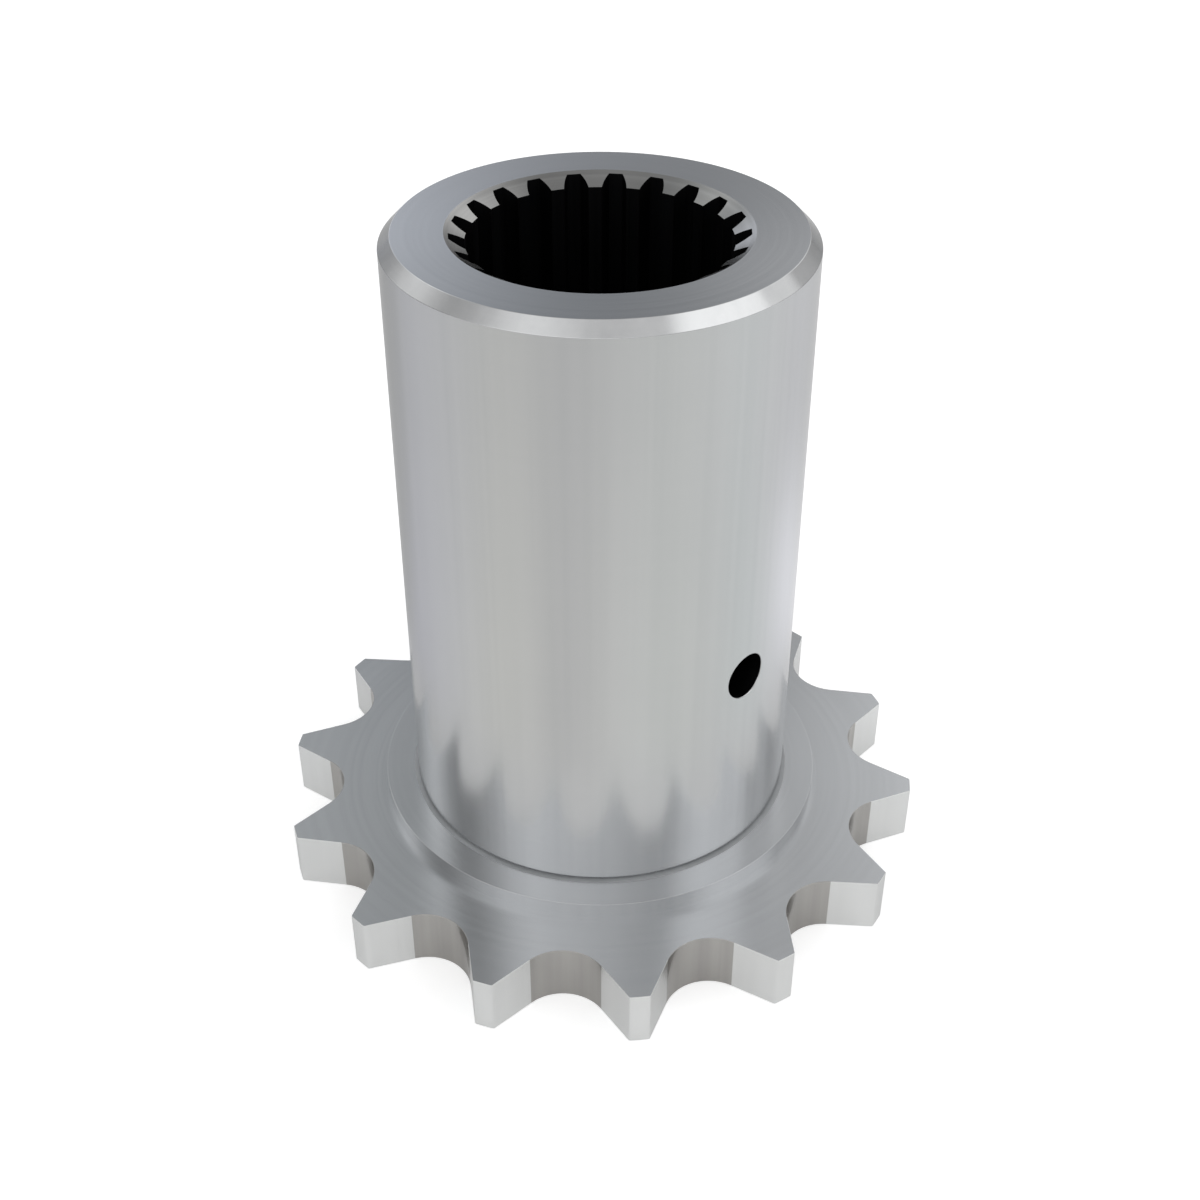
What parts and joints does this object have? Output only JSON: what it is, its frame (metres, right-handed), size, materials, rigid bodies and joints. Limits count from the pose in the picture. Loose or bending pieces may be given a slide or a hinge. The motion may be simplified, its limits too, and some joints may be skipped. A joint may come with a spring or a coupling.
{
  "type": "chain sprocket",
  "caption": "Roller-chain sprocket in one piece with a long round hub, a low collar, an internal spline that fits a splined shaft, and a cross hole for a locking pin.",
  "frame": {"origin": "centre of the toothed plate's underside, on the axis that the sprocket turns about", "axes": "+Z along that axis towards the hub's free end, +X through the cross hole, +Y through the middle of a tooth"},
  "size_m": [0.0872, 0.0888, 0.09],
  "materials": {
    "machined_steel": "bright machined steel, turned and milled, satin"
  },
  "bodies": {
    "root": {"sprocket": "machined_steel"}
  },
  "joints": []
}
